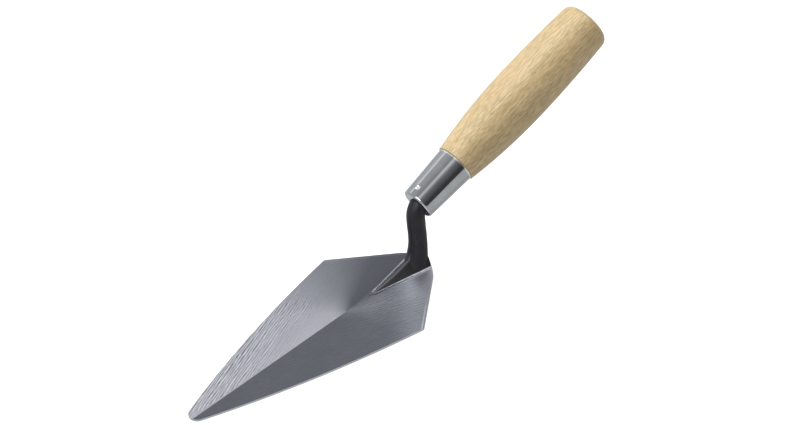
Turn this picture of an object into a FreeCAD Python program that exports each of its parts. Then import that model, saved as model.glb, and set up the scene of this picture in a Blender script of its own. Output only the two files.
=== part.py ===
"""Brick trowel of the pointing pattern, six inches by two and three quarters.

A thin, pointed steel blade carries a black forged shank.  The shank's foot lies on the blade's heel between
two slim weld seams, its neck rises from the heel and bends back into a bright ferrule, and its square tang
runs on inside the turned wooden handle.

Frame: +X runs from the blade's point towards the handle, +Z is up.  The origin is on the blade's flat
underside, on the centre line, where the blade is widest.  All sizes are in millimetres and degrees.
"""

import FreeCAD, Part
import math
import os

# --- blade, seen from above ---
BLADE_WIDTH = 69.85            # widest place, across the shoulders
BLADE_REACH = 112.4            # rounded point to the widest place
HEEL_REACH = 40.0              # widest place to where the two straight heel edges would meet
SIDE_BULGE = 3.25              # how far each long edge bows out of its chord
POINT_RADIUS = 4.5             # rounding of the point
SHOULDER_RADIUS = 1.6          # rounding of the two shoulders
HEEL_RADIUS = 16.0             # rounding of the heel behind the neck

# --- blade, thickness ---
EDGE_THICKNESS = 1.2           # at the shoulders
RIDGE_THICKNESS = 1.8          # on the centre line at the widest place
RIDGE_SLOPE = 0.006            # growth of the ridge's thickness per millimetre towards the heel

# --- foot of the shank ---
FOOT_LENGTH = 34.7             # toe of the foot to the back of the heel
FOOT_RISE = 8.8                # height gained by the foot's ridge over its length
FOOT_TOE = 0.3                 # thickness of the foot at its toe
FOOT_HALF_WIDTH = 7.3          # half of its width at the back of the heel
FOOT_TOE_HALF_WIDTH = 0.25     # half of its width at the toe
FOOT_STATIONS = 6              # cross sections through which the foot is drawn

# --- neck ---
NECK_DIAMETER = 8.8
NECK_ROOT_DIAMETER = 12.6      # where the neck spreads out on the blade
FLARE_HEIGHT = 18.0            # height over which the spread dies out
NECK_INSET = 0.1               # back of the neck's root to the back of the heel
NECK_OVERHANG = 1.8            # how much further back the neck stands above its spread
NECK_LEAN = 0.03               # backward lean, as a slope
BEND_HEIGHT = 34.78           # height at which the neck's line meets the handle's line
BEND_RADIUS = 9.0              # of the neck's centre line
NECK_TAIL = 0.6                # straight round length after the bend

# --- tang inside the handle ---
TANG_ROOT = 6.0                # side of the square at the neck
TANG_TIP = 3.2                 # side of the square at the end
TANG_LENGTH = 74.0

# --- weld seams beside the foot ---
SEAM_RADIUS = 0.75             # at the heel
SEAM_TOE_RADIUS = 0.4          # at the toe
SEAM_START = 2.4               # toe of the foot to the front end of a seam

# --- handle line and ferrule ---
HANDLE_ANGLE = 19.1            # rise of the handle's line over the blade
FERRULE_SETBACK = 1.55         # meeting point of the two lines to the ferrule's nose
FERRULE_LENGTH = 26.9
FERRULE_FRONT_DIAMETER = 16.1
FERRULE_REAR_DIAMETER = 19.2
FERRULE_WALL = 1.0
NOSE_RADIUS = 1.25             # rounding between the nose and the tapered side
RIM_RADIUS = 0.35              # rounding of the rear rim
DIMPLE_PLACE = 4.9             # nose to the centre of the punched dimples
DIMPLE_RADIUS = 1.7            # of the punch's ball
DIMPLE_DEPTH = 0.55
DIMPLE_COUNT = 2               # one above and one below

# --- wooden handle ---
GRIP_LENGTH = 93.0             # ferrule to the butt
GRIP_FRONT_DIAMETER = 20.4
GRIP_DIAMETER = 27.5           # thickest place
GRIP_SWELL_PLACE = 46.5        # ferrule to the thickest place
GRIP_BUTT_DIAMETER = 24.8      # before the butt's edge is rounded
BUTT_RADIUS = 4.0
BUTT_DOME = 0.5                # height of the slightly domed end

# --- fits ---
NECK_CLEARANCE = 0.1           # neck to the hole in the ferrule's nose
SPIGOT_CLEARANCE = 0.05        # wood to the inside of the ferrule
SPIGOT_GAP = 0.6               # end of the round neck to the wood
TANG_CLEARANCE = 0.1           # tang to the hole in the wood
TANG_END_GAP = 1.0             # end of the tang to the bottom of its hole

# --- drawing helpers ---
TOLERANCE = 1e-6               # two places closer than this are the same
TIP_ROUNDS = 5                 # rounds in which the long edges' meeting point settles
UNCUT_HEIGHT = 3               # height of the blade before its top is cut, in ridge thicknesses

# --- worked out from the above ---
HALF_WIDTH = BLADE_WIDTH / 2
POINT_X = -BLADE_REACH
HEEL_HALF_ANGLE = math.atan2(HALF_WIDTH, HEEL_REACH)
HEEL_X = HEEL_REACH - HEEL_RADIUS * (1 / math.sin(HEEL_HALF_ANGLE) - 1)
FOOT_X = HEEL_X - FOOT_LENGTH
UP = FreeCAD.Vector(0, 0, 1)
HANDLE_TILT = 90 - HANDLE_ANGLE
NECK_TILT = math.degrees(math.atan(NECK_LEAN))


def vec(x, y, z=0.0):
    return FreeCAD.Vector(x, y, z)


def leaning(tilt):
    """Unit vector in the XZ plane, tilted from +Z towards +X."""
    angle = math.radians(tilt)
    return vec(math.sin(angle), 0, math.cos(angle))


def neck_spread(height):
    """How much of the root's spread is left at a height: 1 on the blade, 0 where the spread has died out."""
    return max(0.0, 1 - height / FLARE_HEIGHT) ** 2


def neck_radius(height):
    """Half the neck's thickness, spreading out towards the blade."""
    return NECK_DIAMETER / 2 + (NECK_ROOT_DIAMETER - NECK_DIAMETER) / 2 * neck_spread(height)


def neck_centre(height):
    """Centre of the neck's upright part at a height over the underside."""
    back = HEEL_X - NECK_INSET + NECK_OVERHANG * (1 - neck_spread(height)) + NECK_LEAN * height
    return vec(back - neck_radius(height), 0, height)


BEND_CORNER = neck_centre(BEND_HEIGHT)
BEND_TURN = HANDLE_TILT - NECK_TILT
BEND_TANGENT = BEND_RADIUS * math.tan(math.radians(BEND_TURN / 2))
NOSE_CENTRE = BEND_CORNER + leaning(HANDLE_TILT) * FERRULE_SETBACK
NECK_END = BEND_TANGENT - FERRULE_SETBACK + NECK_TAIL      # measured along the handle's line from the nose
SPIGOT_START = NECK_END + SPIGOT_GAP
HANDLE_PLACE = FreeCAD.Placement(NOSE_CENTRE, FreeCAD.Rotation(vec(0, 1, 0), HANDLE_TILT))


def on_handle_line(shape):
    """Move a shape drawn along +Z from the origin onto the handle's line, starting at the nose."""
    moved = shape.copy()
    moved.Placement = HANDLE_PLACE
    return moved


def largest(shape):
    """The biggest solid of a shape."""
    return max(shape.Solids, key=lambda solid: solid.Volume)


def outline_slab(bottom, top):
    """The blade's outline, with all its roundings, filled between two heights."""
    tail = vec(HEEL_REACH, 0, bottom)
    left = vec(0, HALF_WIDTH, bottom)
    right = vec(0, -HALF_WIDTH, bottom)
    sharp = side_meeting_point()
    tip = vec(sharp, 0, bottom)
    edges = [
        Part.LineSegment(right, tail).toShape(),
        Part.LineSegment(tail, left).toShape(),
        Part.Arc(left, side_middle(left, tip, 1), tip).toShape(),
        Part.Arc(tip, side_middle(right, tip, -1), right).toShape(),
    ]
    slab = Part.Face(Part.Wire(edges)).extrude(vec(0, 0, top - bottom))
    slab = slab.makeFillet(SHOULDER_RADIUS, upright_edges(slab, 0, None))
    slab = slab.makeFillet(HEEL_RADIUS, upright_edges(slab, HEEL_REACH, 0))
    return slab.makeFillet(POINT_RADIUS, upright_edges(slab, sharp, 0))


def side_middle(shoulder, tip, side):
    """Middle of a long edge, bowed out of the chord between its ends."""
    chord = tip - shoulder
    outward = vec(-abs(chord.y), side * abs(chord.x)).normalize()
    return (shoulder + tip) * 0.5 + outward * SIDE_BULGE


def side_meeting_point():
    """Where the two long edges would meet in front of the rounded point."""
    half_angle = math.atan2(HALF_WIDTH, BLADE_REACH)
    for _ in range(TIP_ROUNDS):
        reach = BLADE_REACH + POINT_RADIUS * (1 / math.sin(half_angle) - 1)
        chord_angle = math.atan2(HALF_WIDTH, reach)
        half_angle = chord_angle + 2 * math.atan(2 * SIDE_BULGE / math.hypot(HALF_WIDTH, reach))
    return -reach


def upright_edges(slab, x, y):
    """The slab's upright edges at a place; y is None to take both sides."""
    found = []
    for edge in slab.Edges:
        ends = [vertex.Point for vertex in edge.Vertexes]
        if len(ends) != 2 or abs(ends[0].z - ends[1].z) < TOLERANCE:
            continue
        if abs(ends[0].x - x) > TOLERANCE:
            continue
        if y is None or abs(ends[0].y - y) < TOLERANCE:
            found.append(edge)
    return found


def blade_top(x, y):
    """Height of the blade's top, which falls in two facets from the centre ridge to the edges."""
    fall = (RIDGE_THICKNESS - EDGE_THICKNESS) / HALF_WIDTH
    return RIDGE_THICKNESS + RIDGE_SLOPE * x - fall * abs(y)


def make_blade():
    """Flat underside, faceted top."""
    tall = RIDGE_THICKNESS * UNCUT_HEIGHT
    front = POINT_X - POINT_RADIUS
    back = HEEL_REACH
    blade = outline_slab(0, tall)
    for side in (1, -1):
        outer = side * BLADE_WIDTH
        corners = [vec(front, 0, blade_top(front, 0)), vec(front, outer, blade_top(front, outer)),
                   vec(front, outer, 2 * tall), vec(front, 0, 2 * tall)]
        waste = Part.Face(Part.makePolygon(corners + corners[:1]))
        along_ridge = vec(back - front, 0, blade_top(back, 0) - blade_top(front, 0))
        blade = blade.cut(waste.extrude(along_ridge))
    return largest(blade)


def foot_station(x):
    """Half width and ridge height of the foot at a place along the blade."""
    share = (x - FOOT_X) / FOOT_LENGTH
    half_width = FOOT_TOE_HALF_WIDTH + (FOOT_HALF_WIDTH - FOOT_TOE_HALF_WIDTH) * share
    height = blade_top(x, 0) + FOOT_TOE + FOOT_RISE * share ** 2
    return half_width, height


def make_foot():
    """Long wedge with a ridge that sweeps up to the neck, trimmed to the blade's heel."""
    sections = []
    for step in range(FOOT_STATIONS):
        x = FOOT_X + FOOT_LENGTH * step / (FOOT_STATIONS - 1)
        half_width, height = foot_station(x)
        low = EDGE_THICKNESS / 2
        base = blade_top(x, half_width)
        corners = [vec(x, -half_width, low), vec(x, -half_width, base), vec(x, 0, height),
                   vec(x, half_width, base), vec(x, half_width, low)]
        sections.append(Part.makePolygon(corners + corners[:1]))
    foot = Part.makeLoft(sections, True, False)
    return foot.common(outline_slab(0, FOOT_RISE * 2))


def ring(centre, tilt, radius):
    """Circle square to the neck's line, for lofting."""
    circle = Part.Wire(Part.Circle(vec(0, 0, 0), UP, radius).toShape())
    circle.Placement = FreeCAD.Placement(centre, FreeCAD.Rotation(vec(0, 1, 0), tilt))
    return circle


def make_neck(growth):
    """The upright neck with its bend; growth is added to the radius to cut a clearance hole."""
    rings = []
    bottom = EDGE_THICKNESS / 2
    flare_steps = 5
    for step in range(flare_steps + 1):
        height = bottom + (FLARE_HEIGHT - bottom) * step / flare_steps
        rings.append(ring(neck_centre(height), 0, neck_radius(height) + growth))
    start = BEND_CORNER - leaning(NECK_TILT) * BEND_TANGENT
    ahead = leaning(NECK_TILT)
    inward = leaning(NECK_TILT + 90)
    radius = NECK_DIAMETER / 2 + growth
    bend_steps = 6
    for step in range(bend_steps + 1):
        turn = BEND_TURN * step / bend_steps
        angle = math.radians(turn)
        along = BEND_RADIUS * math.sin(angle)
        across = BEND_RADIUS * (1 - math.cos(angle))
        place = start + ahead * along + inward * across
        rings.append(ring(place, NECK_TILT + turn, radius))
    rings.append(ring(NOSE_CENTRE + leaning(HANDLE_TILT) * NECK_END, HANDLE_TILT, radius))
    return Part.makeLoft(rings, True, False)


def square_taper(start, length, root, tip):
    """Square bar along +Z that gets thinner towards its end."""
    sections = []
    for height, side in ((start, root), (start + length, tip)):
        half = side / 2
        corners = [vec(-half, -half, height), vec(half, -half, height), vec(half, half, height),
                   vec(-half, half, height)]
        sections.append(Part.makePolygon(corners + corners[:1]))
    return Part.makeLoft(sections, True, True)


def make_shank(blade):
    """One forging: foot, neck and tang, seated on the blade."""
    overlap = NECK_TAIL / 2
    tang = square_taper(NECK_END - overlap, TANG_LENGTH + overlap, TANG_ROOT, TANG_TIP)
    shank = make_foot().fuse(make_neck(0)).fuse(on_handle_line(tang))
    return largest(shank.cut(blade).removeSplitter())


def make_seam(side, blade, shank):
    """Slim bead along one side of the foot, from near the toe to the heel's edge."""
    ends = []
    for x in (FOOT_X + SEAM_START, HEEL_X):
        half_width = foot_station(x)[0]
        ends.append(vec(x, side * half_width, blade_top(x, half_width)))
    front, back = ends
    run = back - front
    bead = Part.makeCone(SEAM_TOE_RADIUS, SEAM_RADIUS, run.Length, front, run)
    bead = bead.common(outline_slab(0, FOOT_RISE))
    return largest(bead.cut(blade).cut(shank))


def ferrule_radius(place):
    """Outer radius of the ferrule's tapered side at a distance behind the nose."""
    share = place / FERRULE_LENGTH
    return (FERRULE_FRONT_DIAMETER + (FERRULE_REAR_DIAMETER - FERRULE_FRONT_DIAMETER) * share) / 2


def revolve_outline(edges):
    """Turn a closed outline, drawn in the XZ plane, about the Z axis."""
    return Part.Face(Part.Wire(edges)).revolve(vec(0, 0, 0), UP, 360)


def polyline_edges(points):
    return [Part.LineSegment(a, b).toShape() for a, b in zip(points[:-1], points[1:])]


def make_ferrule():
    """Tapered cup with a flat nose, a hole for the neck and two punched dimples."""
    front = ferrule_radius(NOSE_RADIUS)
    rear = ferrule_radius(FERRULE_LENGTH)
    inner_front = ferrule_radius(FERRULE_WALL) - FERRULE_WALL
    inner_rear = rear - FERRULE_WALL
    points = [vec(0, 0, 0), vec(front, 0, 0), vec(rear, 0, FERRULE_LENGTH),
              vec(inner_rear, 0, FERRULE_LENGTH), vec(inner_front, 0, FERRULE_WALL),
              vec(0, 0, FERRULE_WALL), vec(0, 0, 0)]
    cup = revolve_outline(polyline_edges(points))
    cup = cup.makeFillet(NOSE_RADIUS, round_edges(cup, 0, front))
    cup = cup.makeFillet(RIM_RADIUS, round_edges(cup, FERRULE_LENGTH, rear))
    reach = ferrule_radius(DIMPLE_PLACE) + DIMPLE_RADIUS - DIMPLE_DEPTH
    for number in range(DIMPLE_COUNT):
        angle = 2 * math.pi * number / DIMPLE_COUNT
        centre = vec(reach * math.cos(angle), reach * math.sin(angle), DIMPLE_PLACE)
        cup = cup.cut(Part.makeSphere(DIMPLE_RADIUS, centre))
    return largest(on_handle_line(cup).cut(make_neck(NECK_CLEARANCE)))


def round_edges(shape, height, radius):
    """Circular edges of a turned shape at a height and radius."""
    found = []
    for edge in shape.Edges:
        curve = edge.Curve
        if curve.TypeId != "Part::GeomCircle":
            continue
        if abs(curve.Center.z - height) < TOLERANCE and abs(curve.Radius - radius) < TOLERANCE:
            found.append(edge)
    return found


def swell_arc(place, radius):
    """Arc of the grip's side that leaves the thickest place level and ends at a place and radius."""
    swell = vec(GRIP_DIAMETER / 2, 0, FERRULE_LENGTH + GRIP_SWELL_PLACE)
    run = place - swell.z
    drop = swell.x - radius
    bend = (run ** 2 + drop ** 2) / (2 * drop)
    middle = vec(swell.x - bend + math.sqrt(bend ** 2 - (run / 2) ** 2), 0, swell.z + run / 2)
    return Part.Arc(swell, middle, vec(radius, 0, place))


def make_handle():
    """Turned grip with a spigot inside the ferrule and a square hole for the tang."""
    joint = FERRULE_LENGTH
    end = joint + GRIP_LENGTH
    wall = FERRULE_WALL + SPIGOT_CLEARANCE
    butt = GRIP_BUTT_DIAMETER / 2
    side_end = end - BUTT_DOME - BUTT_RADIUS
    front_side = swell_arc(joint, GRIP_FRONT_DIAMETER / 2)
    rear_side = swell_arc(side_end, butt)
    lean = BUTT_RADIUS * math.cos(math.radians(45))
    corner = Part.Arc(
        vec(butt, 0, side_end),
        vec(butt - BUTT_RADIUS + lean, 0, side_end + lean),
        vec(butt - BUTT_RADIUS, 0, side_end + BUTT_RADIUS))
    flat = butt - BUTT_RADIUS
    ball = (flat ** 2 + BUTT_DOME ** 2) / (2 * BUTT_DOME)
    dome = Part.Arc(
        vec(flat, 0, end - BUTT_DOME),
        vec(flat / 2, 0, end - ball + math.sqrt(ball ** 2 - (flat / 2) ** 2)),
        vec(0, 0, end))
    spigot = polyline_edges([
        vec(0, 0, end), vec(0, 0, SPIGOT_START),
        vec(ferrule_radius(SPIGOT_START) - wall, 0, SPIGOT_START),
        vec(ferrule_radius(joint) - wall, 0, joint),
        vec(GRIP_FRONT_DIAMETER / 2, 0, joint)])
    sides = [front_side.toShape(), rear_side.toShape(), corner.toShape(), dome.toShape()]
    wood = revolve_outline(sides + spigot)
    room = 2 * TANG_CLEARANCE
    hole = square_taper(NECK_END, TANG_LENGTH + TANG_END_GAP, TANG_ROOT + room, TANG_TIP + room)
    return largest(on_handle_line(wood.cut(hole)))


def main():
    os.makedirs("parts", exist_ok=True)
    blade = make_blade()
    shank = make_shank(blade)
    shapes = {
        "blade": blade,
        "shank": shank,
        "weld_seam_left": make_seam(1, blade, shank),
        "weld_seam_right": make_seam(-1, blade, shank),
        "ferrule": make_ferrule(),
        "handle": make_handle(),
    }
    for name, shape in shapes.items():
        shape.exportStep(os.path.join("parts", name + ".step"))
        print(name, shape.isValid(), len(shape.Solids), round(shape.Volume, 1))


main()
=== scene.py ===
"""Looks for the brick trowel: materials, floor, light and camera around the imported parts.

Metres throughout, in the part's own frame: +X runs from the blade's point towards the handle, +Z is up and
the blade's underside lies on the floor at z = 0.
"""

import math

import bmesh
import bpy
from mathutils import Matrix, Vector


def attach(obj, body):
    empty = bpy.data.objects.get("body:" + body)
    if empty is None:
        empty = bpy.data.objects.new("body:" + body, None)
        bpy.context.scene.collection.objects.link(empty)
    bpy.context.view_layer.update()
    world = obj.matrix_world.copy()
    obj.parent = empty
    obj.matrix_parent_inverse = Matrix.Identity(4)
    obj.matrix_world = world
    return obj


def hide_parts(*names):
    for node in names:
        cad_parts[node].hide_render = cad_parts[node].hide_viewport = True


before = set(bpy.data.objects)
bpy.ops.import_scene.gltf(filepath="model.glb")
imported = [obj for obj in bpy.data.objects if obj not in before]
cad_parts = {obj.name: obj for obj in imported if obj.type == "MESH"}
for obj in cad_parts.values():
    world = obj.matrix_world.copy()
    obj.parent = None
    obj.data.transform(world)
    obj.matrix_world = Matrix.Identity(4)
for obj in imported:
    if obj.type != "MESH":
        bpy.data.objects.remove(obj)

MM = 0.001

# --- light ---
KEY_POWER = 25
FILL_POWER = 3.5
STRIP_RADIANCE = 7.5           # brightness of the two strip lights that only metals show
END_LIGHT = 0.5                # brightness of the tent's two ends
END_STARTS = 0.38              # where an end starts, as the share of a direction that points along X
END_IS_FULL = 0.62
TENT_BLUE = 1.03
LIGHT_TARGET = (0.07, 0, 0.04)
# Brightness of the studio tent by its lean from straight up, in degrees: - is the near side, + the far side.
TENT_LIGHT = (
    (-90, 0.06), (-80, 0.06), (-70, 0.07), (-60, 0.13), (-46, 0.18), (-35, 0.27), (-27, 0.46),
    (-20, 0.84), (-13, 0.80), (-7, 0.42), (0, 0.38), (10, 0.48), (26, 0.56), (46, 0.58), (50, 1.10),
    (58, 1.10), (63, 0.70), (78, 0.72), (90, 0.50),
)

# --- floor ---
FLOOR_SIZE = 6.0
FLOOR_GAP = 0.05 * MM          # keeps the floor clear of the blade's underside
FLOOR_GLOW = 0.16              # its own light, as surfaces around it see it
FLOOR_SHINE = 0.14             # more of it in the metals' reflections

# --- camera ---
VIEW_AZIMUTH = -36.7
VIEW_ELEVATION = 41.2
VIEW_ROLL = 7.7
VIEW_DISTANCE = 3.0
VIEW_LENS = 292.3
VIEW_TARGET = Vector((0.02617, 0.00655, 0.03027))

# --- lines of the part that the materials follow ---
HANDLE_ANGLE = 19.1
JUNCTION_X = -17 * MM
CREASE_SLOPE = 0.013
LEFT_GRIND_ANGLE = 22          # of the grinding lines, from the centre line
RIGHT_GRIND_ANGLE = -22
LEFT_HEEL_EDGE = 1.4           # angle, in radians, where the left edge's grinding lines begin
FULL_LINES = 2.4               # and where they are at full strength
JUNCTION_SOFTNESS = 7 * MM     # how far the facets' painted tones run into each other
# painted tone where the facets meet
JUNCTION_PAINTED_TONE = 0.58
EDGE_PAINTED_REFLECTION = 0.70               # painted reflection: how much brighter the right half is made at the heel's edge
BACK_PAINTED_REFLECTION = 1.4                # and at the back beside the neck
LEFT_BEVEL_HIGHLIGHT = 0.10              # strength of the strip inside each heel edge: bare ground steel with a painted highlight
RIGHT_BEVEL_HIGHLIGHT = 0.85
BEVEL_HIGHLIGHT_TONE = 0.92
SIDE_TONE = 0.84
UNDERSIDE_TONE = 0.70
HEEL_SIDE = (0.658, 0.753)     # outward direction of a straight heel edge, along and across
HEEL_LINE = 26.3 * MM          # how far that edge lies from the origin in that direction

JOINT = Vector((56.9, 0, 44.09)) * MM               # middle of the joint of ferrule and handle
JOINT_ALONG = JOINT.x * math.cos(math.radians(HANDLE_ANGLE)) + JOINT.z * math.sin(math.radians(HANDLE_ANGLE))
PUNCH_PLACE = -22.0 * MM       # the ferrule's punch marks, from the joint

# --- handle in millimetres from the joint, as in the part but about 0.02 smaller ---
GRIP_LENGTH = 92.98
GRIP_SWELL_PLACE = 46.5
GRIP_FRONT_RADIUS = 10.2
GRIP_RADIUS = 13.75
GRIP_BUTT_RADIUS = 12.385
GRIP_SIDES = 128
BUTT_RADIUS = 4.0
BUTT_DOME = 0.5
BORE = [(53.0, 0), (53.0, 2.5), (-21.0, 4.5)]       # round the tang
SPIGOT = [(-21.0, 7.3), (0, 8.55)]                  # inside the ferrule

# Painted light and shade on the blade's top: its brightness in the base colour, by the angle in degrees about
# the point where its facets meet. The blade's own point is at both ends of the list and the foot is in the
# middle.
PAINTED_FACET_LIGHT = (
    (-180, 0.485), (-140, 0.49), (-80, 0.51), (-50, 0.57), (-28, 0.61), (-8, 0.56),
    (8, 0.43), (28, 0.45), (60, 0.61), (90, 0.69), (140, 0.80), (180, 0.83),
)

# The wood's colours, from the dark to the light parts of its rings.
WOOD_TONES = (
    (0.30, (0.63, 0.455, 0.225)),
    (0.50, (0.69, 0.520, 0.275)),
    (0.70, (0.75, 0.590, 0.330)),
)


def main():
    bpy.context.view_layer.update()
    paint(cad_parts)
    make_grip()
    make_floor()
    make_light()
    make_camera()


# ---------------------------------------------------------------- node helpers

class Graph:
    """A small wrapper that makes material node trees short to write."""

    def __init__(self, name):
        self.material = bpy.data.materials.new(name)
        self.material.use_nodes = True
        self.tree = self.material.node_tree
        self.tree.nodes.clear()
        self.output = self.node("ShaderNodeOutputMaterial")
        self.shader = self.node("ShaderNodeBsdfPrincipled")
        self.link(self.shader.outputs["BSDF"], self.output.inputs["Surface"])

    def node(self, kind, **settings):
        made = self.tree.nodes.new(kind)
        for key, value in settings.items():
            setattr(made, key, value)
        return made

    def link(self, source, target):
        self.tree.links.new(source, target)

    def place(self, scale=(1, 1, 1), rotation=(0, 0, 0), shift=(0, 0, 0), source=None):
        """Object coordinates, moved, turned and scaled."""
        if source is None:
            source = self.node("ShaderNodeTexCoord").outputs["Object"]
        mapping = self.node("ShaderNodeMapping", vector_type="POINT")
        mapping.inputs["Scale"].default_value = scale
        mapping.inputs["Rotation"].default_value = rotation
        mapping.inputs["Location"].default_value = shift
        self.link(source, mapping.inputs["Vector"])
        return mapping.outputs["Vector"]

    def noise(self, vector, scale=1.0, detail=4.0, roughness=0.5, distortion=0.0):
        made = self.node("ShaderNodeTexNoise")
        made.inputs["Scale"].default_value = scale
        made.inputs["Detail"].default_value = detail
        made.inputs["Roughness"].default_value = roughness
        made.inputs["Distortion"].default_value = distortion
        self.link(vector, made.inputs["Vector"])
        return made.outputs["Fac"]

    def math(self, operation, a, b=None, c=None):
        made = self.node("ShaderNodeMath", operation=operation)
        for socket, value in zip(made.inputs, (a, b, c)):
            if value is None:
                continue
            if isinstance(value, (int, float)):
                socket.default_value = value
            else:
                self.link(value, socket)
        return made.outputs[0]

    def length(self, a, b):
        """Length of the sloping side of a right triangle."""
        squares = self.math("ADD", self.math("MULTIPLY", a, a), self.math("MULTIPLY", b, b))
        return self.math("SQRT", squares)

    def remap(self, value, low, high, to_low=0.0, to_high=1.0, smooth=True):
        made = self.node("ShaderNodeMapRange", interpolation_type="SMOOTHSTEP" if smooth else "LINEAR")
        for name, number in (("From Min", low), ("From Max", high), ("To Min", to_low), ("To Max", to_high)):
            made.inputs[name].default_value = number
        self.link(value, made.inputs["Value"])
        return made.outputs["Result"]

    def mix(self, factor, a, b):
        made = self.node("ShaderNodeMix", data_type="RGBA")
        for name, value in (("Factor", factor), ("A", a), ("B", b)):
            socket = next(s for s in made.inputs if s.name == name and s.enabled)
            if isinstance(value, (int, float)):
                socket.default_value = value
            elif isinstance(value, tuple):
                socket.default_value = (*value, 1.0)
            else:
                self.link(value, socket)
        return next(s for s in made.outputs if s.enabled)

    def blend(self, factor, a, b):
        """Two numbers mixed."""
        made = self.node("ShaderNodeMix", data_type="FLOAT")
        for socket, value in ((made.inputs[0], factor), (made.inputs[2], a), (made.inputs[3], b)):
            if isinstance(value, (int, float)):
                socket.default_value = value
            else:
                self.link(value, socket)
        return made.outputs["Result"]

    def scale_colour(self, colour, factor):
        """A colour made brighter or darker by a number."""
        made = self.node("ShaderNodeVectorMath", operation="SCALE")
        if isinstance(colour, tuple):
            made.inputs[0].default_value = colour
        else:
            self.link(colour, made.inputs[0])
        self.link(factor, made.inputs["Scale"])
        return made.outputs["Vector"]

    def ramp(self, value, *stops):
        made = self.node("ShaderNodeValToRGB")
        elements = made.color_ramp.elements
        while len(elements) < len(stops):
            elements.new(0.5)
        for element, (position, colour) in zip(elements, stops):
            element.position = position
            element.color = (*colour, 1.0)
        self.link(value, made.inputs["Fac"])
        return made.outputs["Color"]

    def bump(self, height, strength, distance, normal=None):
        made = self.node("ShaderNodeBump")
        made.inputs["Strength"].default_value = strength
        made.inputs["Distance"].default_value = distance
        self.link(height, made.inputs["Height"])
        if normal is not None:
            self.link(normal, made.inputs["Normal"])
        return made.outputs["Normal"]

    def axes(self, vector):
        made = self.node("ShaderNodeSeparateXYZ")
        self.link(vector, made.inputs["Vector"])
        return made.outputs["X"], made.outputs["Y"], made.outputs["Z"]

    def set(self, **values):
        for name, value in values.items():
            socket = self.shader.inputs[name.replace("_", " ")]
            if isinstance(value, (int, float)):
                socket.default_value = value
            elif isinstance(value, tuple):
                socket.default_value = (*value, 1.0)
            else:
                self.link(value, socket)


# ---------------------------------------------------------------- materials

def linear(tone):
    """Linear light for a display tone of 0 to 1."""
    return ((tone + 0.055) / 1.055) ** 2.4


def steel_tint(tone):
    """Bare steel's colour: dark steel is bluer than bright steel."""
    light = linear(tone)
    return (light * (0.90 + 0.10 * tone), light, light * (1.19 - 0.14 * tone))


def facet_angle(g, x, y):
    """Angle about the point where the facets meet (the blade's point is at +-pi, + is left), and distance."""
    along = g.math("SUBTRACT", x, JUNCTION_X)
    across = g.math("SUBTRACT", y, g.math("MULTIPLY", along, CREASE_SLOPE))
    return g.math("ARCTAN2", across, along), g.length(along, across)


def scratches(g, angle, length, spacing):
    """Fine parallel lines, from 0 to 1, that wander and break up, at an angle to the blade's centre line."""
    turned = g.place(rotation=(0, 0, math.radians(-angle)))
    wander = g.noise(g.place(scale=(0.5 / length, 0.5 / spacing, 1.0), source=turned), detail=0.0)
    shifted = g.place(scale=(1.8 / length, 1.1 / spacing, 1.0), shift=(5, 9, 2), source=turned)
    broken = g.noise(shifted, detail=1.0)
    across = g.math("MULTIPLY", g.axes(turned)[1], 2 * math.pi / spacing)
    wave = g.math("SINE", g.math("ADD", across, g.math("MULTIPLY", wander, 7.0)))
    return g.math("ADD", g.math("MULTIPLY", wave, g.remap(broken, 0.40, 0.58, 0.05, 0.5)), 0.5)


def paint_facet_light(g, x, y):
    """The four facets' painted light and shade, softened where they meet, and the angle about that point."""
    angle, distance = facet_angle(g, x, y)
    turn = g.math("ADD", g.math("DIVIDE", angle, 2 * math.pi), 0.5)
    painted_tones = g.ramp(turn, *[(0.5 + degrees / 360, steel_tint(tone)) for degrees, tone in PAINTED_FACET_LIGHT])
    softened = g.remap(distance, 0, JUNCTION_SOFTNESS, 0.55, 0.0)
    return g.mix(softened, painted_tones, steel_tint(JUNCTION_PAINTED_TONE)), angle


def heel_painted_light(g, x, outer, right):
    """Painted reflection that brightens the right half towards the heel, and a strip just inside the heel
    edges: a ground bevel's bare steel with a painted highlight, much stronger on the right.
    """
    reach = g.math("ADD", g.math("MULTIPLY", x, HEEL_SIDE[0]), g.math("MULTIPLY", outer, HEEL_SIDE[1]))
    inside = g.math("SUBTRACT", HEEL_LINE, reach)
    # painted reflection that brightens the right half near the heel edge and beside the neck
    edge_painted_reflection = g.math("MULTIPLY", g.remap(inside, 18 * MM, 1 * MM), EDGE_PAINTED_REFLECTION)
    back_painted_reflection = g.math("MULTIPLY", g.remap(x, 4 * MM, 25 * MM), BACK_PAINTED_REFLECTION)
    painted_reflection = g.math("MULTIPLY", g.math("ADD", edge_painted_reflection, back_painted_reflection), right)
    # the strip: a bare ground bevel with a painted highlight, far stronger on the right half
    strip = g.math("MULTIPLY", g.remap(inside, 1.5 * MM, 1.1 * MM), g.remap(inside, 0.4 * MM, 0.7 * MM))
    return painted_reflection, g.math("MULTIPLY", strip, g.blend(right, LEFT_BEVEL_HIGHLIGHT, RIGHT_BEVEL_HIGHLIGHT))


def scratch_depth(g, x, outer, angle, right):
    """How strongly the grinding lines show: most near the point and the left edge, and on the right heel."""
    from_heel = g.remap(g.math("ABSOLUTE", angle), LEFT_HEEL_EDGE, FULL_LINES)
    edgeward = g.math("MULTIPLY", g.remap(outer, 4 * MM, 24 * MM), from_heel)
    pointward = g.remap(x, -35 * MM, -85 * MM)
    left = g.math("ADD", g.math("MULTIPLY", edgeward, 0.42), g.math("MULTIPLY", pointward, 0.48))
    left = g.math("ADD", left, 0.05)
    heelward = g.remap(x, -30 * MM, 20 * MM, 0.12, 0.48)
    return g.blend(right, left, heelward)


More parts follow.
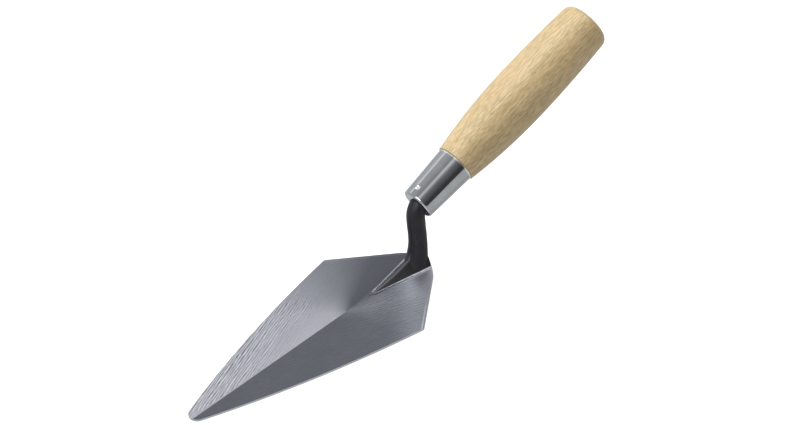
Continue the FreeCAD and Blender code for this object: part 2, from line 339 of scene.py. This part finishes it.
def with_other_sides(g, top, lines):
    """The top's colour, with plain steel on the narrow sides and scratched steel underneath."""
    upright = g.axes(g.node("ShaderNodeNewGeometry").outputs["True Normal"])[2]
    side = g.remap(g.math("ABSOLUTE", upright), 0.7, 0.2)
    top_and_sides = g.mix(side, top, steel_tint(SIDE_TONE))
    below = g.remap(upright, -0.4, -0.8)
    underside = g.scale_colour(steel_tint(UNDERSIDE_TONE), g.remap(lines, 0.3, 0.7, 0.8, 1.2))
    return g.mix(below, top_and_sides, underside)


def ground_steel():
    """Blade: ground carbon steel with short grinding lines that run differently on the two sides, with
    painted light and shade in its base colour: facet tones, a painted reflection at the right heel and a
    painted highlight inside the heel edges.
    """
    g = Graph("ground_steel")
    x, y, _ = g.axes(g.place())
    outer = g.math("ABSOLUTE", y)
    right = g.math("LESS_THAN", y, 0.0)
    facet_painted_light, angle = paint_facet_light(g, x, y)
    painted_reflection, strip = heel_painted_light(g, x, outer, right)

    left_lines = scratches(g, LEFT_GRIND_ANGLE, 8 * MM, 1.25 * MM)
    right_lines = scratches(g, RIGHT_GRIND_ANGLE, 5 * MM, 1.2 * MM)
    lines = g.blend(right, left_lines, right_lines)
    fine = g.noise(g.place(), scale=2600, detail=2.0)
    cloud = g.noise(g.place(scale=(1, 1.6, 1)), scale=60, detail=3.0)
    swing = g.remap(lines, 0.0, 1.0, -1.0, 1.0, smooth=False)
    swing = g.math("MULTIPLY", swing, scratch_depth(g, x, outer, angle, right))
    swing = g.math("ADD", swing, g.remap(cloud, 0.3, 0.7, -0.03, 0.03))
    swing = g.math("ADD", swing, g.remap(fine, 0.3, 0.7, -0.06, 0.06))
    # the facets' painted light, the heel's painted reflection and the scratches set the top's brightness
    brightness = g.math("ADD", g.math("ADD", swing, painted_reflection), 1.0)
    top_with_painted_light = g.mix(strip, g.scale_colour(facet_painted_light, brightness), steel_tint(BEVEL_HIGHLIGHT_TONE))

    g.set(Metallic=1.0, Base_Color=with_other_sides(g, top_with_painted_light, left_lines))
    g.set(Roughness=g.remap(lines, 0.0, 1.0, 0.32, 0.40, smooth=False))
    g.set(Normal=g.bump(lines, 0.15, 0.02 * MM, g.bump(fine, 0.2, 0.01 * MM)))
    return g.material


def black_forging():
    """Shank: black forging scale, slightly uneven; its foot's left flank is greyed by a painted sheen, and
    its ridge is rubbed grey with a painted highlight.
    """
    g = Graph("black_forging")
    x, y, z = g.axes(g.place())
    where = g.place()
    broad = g.noise(where, scale=180, detail=4.0)
    grit = g.noise(where, scale=2200, detail=3.0)
    scale = g.ramp(broad, (0.35, (0.0145, 0.0142, 0.0175)), (0.70, (0.023, 0.0225, 0.027)))
    # painted sheen on the left flank and a painted highlight on the rubbed ridge, low on the foot
    low = g.math("MULTIPLY", g.remap(z, 11 * MM, 7 * MM), g.remap(x, 29 * MM, 24 * MM))
    on_ridge = g.remap(g.math("ABSOLUTE", y), 0.75 * MM, 0.2 * MM)
    ridge_wear_and_highlight = g.math("MULTIPLY", on_ridge, g.math("MULTIPLY", low, 0.85))
    flank_painted_sheen = g.math("MULTIPLY", g.remap(y, 0.0, 0.6 * MM), g.math("MULTIPLY", low, 0.16))
    rubbed_and_painted_sheen = g.math("MULTIPLY", g.math("MAXIMUM", ridge_wear_and_highlight, flank_painted_sheen), g.remap(grit, 0.3, 0.6, 0.6, 1.0))
    g.set(Base_Color=g.mix(rubbed_and_painted_sheen, scale, (0.15, 0.155, 0.165)))
    g.set(Roughness=g.remap(grit, 0.3, 0.7, 0.40, 0.60), Specular_IOR_Level=0.35)
    g.set(Normal=g.bump(broad, 0.25, 0.25 * MM, g.bump(grit, 0.30, 0.03 * MM)))
    return g.material


def seam_with_painted_highlight(name, front, rear):
    """The thin line of bare metal where the foot meets the blade, with a painted highlight that brightens it
    towards the heel.
    """
    g = Graph(name)
    beads = g.noise(g.place(), scale=450, detail=2.0)
    x, _, _ = g.axes(g.place())
    # painted highlight: brighter towards the heel
    tone = g.mix(g.remap(x, 4 * MM, 22 * MM), steel_tint(front), steel_tint(rear))
    g.set(Metallic=1.0, Base_Color=g.scale_colour(tone, g.remap(beads, 0.3, 0.7, 0.9, 1.0)))
    g.set(Roughness=g.remap(beads, 0.3, 0.7, 0.35, 0.50), Normal=g.bump(beads, 0.1, 0.1 * MM))
    return g.material


def painted_glint_places(g, along_handle):
    """Painted highlights: where the plating is made paler, on the rear rim and in the punch marks."""
    along, across, _ = g.axes(along_handle)
    behind_joint = g.math("SUBTRACT", along, JOINT_ALONG)
    rim = g.remap(behind_joint, -1.1 * MM, -0.8 * MM)
    beside = g.math("SUBTRACT", behind_joint, PUNCH_PLACE)
    punch = g.remap(g.length(beside, across), 1.3 * MM, 1.1 * MM)
    return g.math("MAXIMUM", rim, punch)


def chrome():
    """Ferrule: bright plated cap with faint draw marks along it, with painted highlights that make it paler
    on its rim and in its punch marks.
    """
    g = Graph("chrome")
    along_handle = g.place(rotation=(0, math.radians(HANDLE_ANGLE), 0))
    rim_and_punch_glints = painted_glint_places(g, along_handle)
    drawn = g.noise(g.place(scale=(60, 2400, 2400), source=along_handle), detail=2.0)
    cloud = g.noise(along_handle, scale=140, detail=3.0)
    plated = g.ramp(cloud, (0.3, (0.475, 0.495, 0.505)), (0.7, (0.53, 0.55, 0.56)))
    # painted highlights on the rim and in the punch marks
    g.set(Metallic=1.0, Base_Color=g.mix(rim_and_punch_glints, plated, (0.95, 0.96, 0.97)))
    g.set(Roughness=g.math("ADD", g.remap(drawn, 0.3, 0.7, 0.06, 0.13), g.math("MULTIPLY", rim_and_punch_glints, 0.2)))
    g.set(Normal=g.bump(drawn, 0.12, 0.01 * MM, g.bump(cloud, 0.08, 0.2 * MM)))
    return g.material


def varnished_wood():
    """Handle: pale close-grained hardwood under a thin satin varnish."""
    g = Graph("varnished_wood")
    handle = g.place(rotation=(0, math.radians(HANDLE_ANGLE), 0))
    warp = g.noise(g.place(scale=(14, 60, 60), source=handle), detail=3.0)
    rings = g.noise(g.place(scale=(7, 300, 150), source=handle), detail=5.0, roughness=0.6, distortion=0.4)
    flames = g.noise(g.place(scale=(65, 800, 800), source=handle), detail=4.0, roughness=0.65, distortion=0.2)
    fibres = g.noise(g.place(scale=(240, 1500, 1500), source=handle), detail=2.0, roughness=0.6)
    pores = g.noise(g.place(scale=(420, 1500, 1500), source=handle), detail=1.0)
    base = g.ramp(rings, *WOOD_TONES)
    shade = g.remap(warp, 0.3, 0.7, 0.95, 1.05)
    shade = g.math("MULTIPLY", shade, g.remap(flames, 0.3, 0.7, 0.95, 1.04))
    shade = g.math("MULTIPLY", shade, g.remap(fibres, 0.32, 0.68, 0.80, 1.15))
    shade = g.math("MULTIPLY", shade, g.remap(pores, 0.68, 0.76, 1.0, 0.72))
    g.set(Base_Color=g.scale_colour(base, shade))
    g.set(Roughness=g.remap(fibres, 0.3, 0.7, 0.34, 0.50), Specular_IOR_Level=0.4)
    g.set(Coat_Weight=0.25, Coat_Roughness=0.28)
    g.set(Normal=g.bump(flames, 0.10, 0.05 * MM, g.bump(fibres, 0.15, 0.03 * MM)))
    return g.material


def paint(nodes):
    looks = {
        "blade": ground_steel(),
        "shank": black_forging(),
        "weld_seam_left": seam_with_painted_highlight("seam_left", 0.72, 0.84),
        "weld_seam_right": seam_with_painted_highlight("seam_right", 0.66, 1.0),
        "ferrule": chrome(),
    }
    for name, material in looks.items():
        for slot in nodes[name].material_slots:
            slot.material = material


# ---------------------------------------------------------------- handle

def arc_points(centre, radius, start, end, steps):
    """Points (along, out) on an arc, angles in degrees from outwards towards the butt."""
    points = []
    for step in range(steps + 1):
        angle = math.radians(start + (end - start) * step / steps)
        points.append((centre[0] + radius * math.sin(angle), centre[1] + radius * math.cos(angle)))
    return points


def swell_points(place, radius, steps):
    """The grip's side from its thickest place, where it is level, to a place and radius."""
    run = place - GRIP_SWELL_PLACE
    drop = GRIP_RADIUS - radius
    bend = (run ** 2 + drop ** 2) / (2 * drop)
    end = math.degrees(math.asin(run / bend))
    return arc_points((GRIP_SWELL_PLACE, GRIP_RADIUS - bend), bend, 0, end, steps)


def grip_profile():
    """Half outline of the grip in millimetres, (along, out), from its bore's bottom round to the butt."""
    side_end = GRIP_LENGTH - BUTT_DOME - BUTT_RADIUS
    flat = GRIP_BUTT_RADIUS - BUTT_RADIUS
    ball = (flat ** 2 + BUTT_DOME ** 2) / (2 * BUTT_DOME)
    front_side = swell_points(0, GRIP_FRONT_RADIUS, 24)
    rear_side = swell_points(side_end, GRIP_BUTT_RADIUS, 24)
    butt = arc_points((side_end, flat), BUTT_RADIUS, 0, 90, 10)
    dome_edge = math.degrees(math.asin(flat / ball))
    dome = arc_points((GRIP_LENGTH - ball, 0), ball, 90 - dome_edge, 90, 8)
    return BORE + SPIGOT + front_side[::-1] + rear_side[1:] + butt[1:] + dome[1:-1] + [(GRIP_LENGTH, 0)]


def grip_ring(bm, along, out):
    """One ring of the grip's corners, or a single one on its centre line."""
    if out == 0:
        return [bm.verts.new((along, 0, 0))]
    turns = [2 * math.pi * step / GRIP_SIDES for step in range(GRIP_SIDES)]
    return [bm.verts.new((along, out * math.cos(turn), out * math.sin(turn))) for turn in turns]


def make_grip():
    """The turned handle, smooth all round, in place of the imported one."""
    mesh = bpy.data.meshes.new("grip")
    bm = bmesh.new()
    rings = [grip_ring(bm, along * MM, out * MM) for along, out in grip_profile()]
    for near, far in zip(rings[:-1], rings[1:]):
        for step in range(GRIP_SIDES):
            following = (step + 1) % GRIP_SIDES
            corners = [near[step % len(near)], near[following % len(near)],
                       far[following % len(far)], far[step % len(far)]]
            bm.faces.new(list(dict.fromkeys(corners)))
    bmesh.ops.recalc_face_normals(bm, faces=bm.faces)
    lean = Matrix.Rotation(-math.radians(HANDLE_ANGLE), 4, "Y")
    bmesh.ops.transform(bm, matrix=Matrix.Translation(JOINT) @ lean, verts=bm.verts)
    bm.to_mesh(mesh)
    bm.free()
    mesh.shade_smooth()
    mesh.set_sharp_from_angle(angle=math.radians(35))
    grip = bpy.data.objects.new("grip", mesh)
    bpy.context.scene.collection.objects.link(grip)
    mesh.materials.append(varnished_wood())
    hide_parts("handle")
    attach(grip, "root")


# ---------------------------------------------------------------- stage

def make_floor():
    mesh = bpy.data.meshes.new("floor")
    half = FLOOR_SIZE / 2
    corners = [(-half, -half, 0), (half, -half, 0), (half, half, 0), (-half, half, 0)]
    mesh.from_pydata(corners, [], [(0, 1, 2, 3)])
    floor = bpy.data.objects.new("floor", mesh)
    floor.location.z = -FLOOR_GAP
    bpy.context.scene.collection.objects.link(floor)
    g = Graph("floor_paper")
    ray = g.node("ShaderNodeLightPath").outputs
    seen = g.remap(ray["Is Camera Ray"], 0, 1, FLOOR_GLOW, 1.0)
    g.set(Base_Color=(0.30, 0.30, 0.30), Roughness=0.9, Specular_IOR_Level=0.0)
    g.set(Emission_Color=(1.0, 1.0, 1.0))
    g.set(Emission_Strength=g.math("ADD", seen, g.math("MULTIPLY", ray["Is Glossy Ray"], FLOOR_SHINE)))
    mesh.materials.append(g.material)


def area_light(name, place, target, size, power):
    data = bpy.data.lights.new(name, "AREA")
    data.shape = "RECTANGLE"
    data.size, data.size_y = size
    data.energy = power
    light = bpy.data.objects.new(name, data)
    light.location = place
    light.rotation_euler = (Vector(target) - Vector(place)).to_track_quat("-Z", "Y").to_euler()
    bpy.context.scene.collection.objects.link(light)
    return light


def tent_shader(tree, direction):
    """The tent's brightness, by how far a direction leans from straight up to either side."""
    link = tree.links.new
    lean = tree.nodes.new("ShaderNodeMath")
    lean.operation = "ARCTAN2"
    link(direction["Y"], lean.inputs[0])
    link(direction["Z"], lean.inputs[1])
    place = tree.nodes.new("ShaderNodeMapRange")
    place.inputs["From Min"].default_value = -math.pi / 2
    place.inputs["From Max"].default_value = math.pi / 2
    link(lean.outputs[0], place.inputs["Value"])
    ramp = tree.nodes.new("ShaderNodeValToRGB")
    elements = ramp.color_ramp.elements
    while len(elements) < len(TENT_LIGHT):
        elements.new(0.5)
    for element, (degrees, light) in zip(elements, TENT_LIGHT):
        element.position = 0.5 + degrees / 180
        element.color = (light, light, light * TENT_BLUE, 1.0)
    link(place.outputs["Result"], ramp.inputs["Fac"])
    tent = tree.nodes.new("ShaderNodeBackground")
    link(ramp.outputs["Color"], tent.inputs["Color"])
    return tent.outputs[0]


def end_share(tree, direction):
    """How much of the tent's end a direction meets."""
    aside = tree.nodes.new("ShaderNodeMath")
    aside.operation = "ABSOLUTE"
    tree.links.new(direction["X"], aside.inputs[0])
    ends = tree.nodes.new("ShaderNodeMapRange")
    ends.interpolation_type = "SMOOTHSTEP"
    ends.inputs["From Min"].default_value = END_STARTS
    ends.inputs["From Max"].default_value = END_IS_FULL
    tree.links.new(aside.outputs[0], ends.inputs["Value"])
    return ends.outputs["Result"]


def plain_shader(tree, colour):
    """Light of one colour from all directions."""
    made = tree.nodes.new("ShaderNodeBackground")
    made.inputs["Color"].default_value = (*colour, 1)
    return made.outputs[0]


def mix_shader(tree, factor, first, second):
    """Two shaders mixed."""
    made = tree.nodes.new("ShaderNodeMixShader")
    for socket, source in zip(made.inputs, (factor, first, second)):
        tree.links.new(source, socket)
    return made.outputs[0]


def make_tent():
    """A studio tent: bright behind the object and overhead, dark on the near side, white to the camera."""
    world = bpy.data.worlds.new("studio")
    world.use_nodes = True
    tree = world.node_tree
    tree.nodes.clear()
    split = tree.nodes.new("ShaderNodeSeparateXYZ")
    tree.links.new(tree.nodes.new("ShaderNodeTexCoord").outputs["Generated"], split.inputs[0])
    end = plain_shader(tree, (END_LIGHT, END_LIGHT, END_LIGHT * TENT_BLUE))
    tent = mix_shader(tree, end_share(tree, split.outputs), tent_shader(tree, split.outputs), end)
    seen = tree.nodes.new("ShaderNodeLightPath").outputs["Is Camera Ray"]
    whole = mix_shader(tree, seen, tent, plain_shader(tree, (1, 1, 1)))
    tree.links.new(whole, tree.nodes.new("ShaderNodeOutputWorld").inputs["Surface"])
    bpy.context.scene.world = world


def make_light():
    """The tent, two soft lights that only rough surfaces show, and two strips that only metals show."""
    make_tent()
    for name, place, power in (("key", (-0.2, 0.8, 1.7), KEY_POWER), ("fill", (-0.5, -1.2, 1.4), FILL_POWER)):
        soft = area_light(name, place, LIGHT_TARGET, (1.1, 1.1), power)
        soft.visible_glossy = False
    for name, place, size in (("front_strip", (-1.1, -0.3, 1.0), (0.9, 0.6)),
                              ("back_strip", (1.03, -0.22, 1.54), (0.9, 0.3))):
        strip = area_light(name, place, LIGHT_TARGET, size, STRIP_RADIANCE * math.pi * size[0] * size[1])
        strip.visible_diffuse = False
    bpy.context.scene.view_settings.view_transform = "Standard"


def make_camera():
    azimuth, elevation = math.radians(VIEW_AZIMUTH), math.radians(VIEW_ELEVATION)
    back = Vector((math.sin(azimuth) * math.cos(elevation),
                   -math.cos(azimuth) * math.cos(elevation),
                   math.sin(elevation)))
    data = bpy.data.cameras.new("camera")
    data.lens = VIEW_LENS
    data.sensor_width = 36
    data.clip_end = 100
    camera = bpy.data.objects.new("camera", data)
    camera.location = VIEW_TARGET + back * VIEW_DISTANCE
    camera.rotation_euler = (-back).to_track_quat("-Z", "Y").to_euler()
    camera.rotation_euler.rotate_axis("Z", -math.radians(VIEW_ROLL))
    bpy.context.scene.collection.objects.link(camera)
    bpy.context.scene.camera = camera


main()
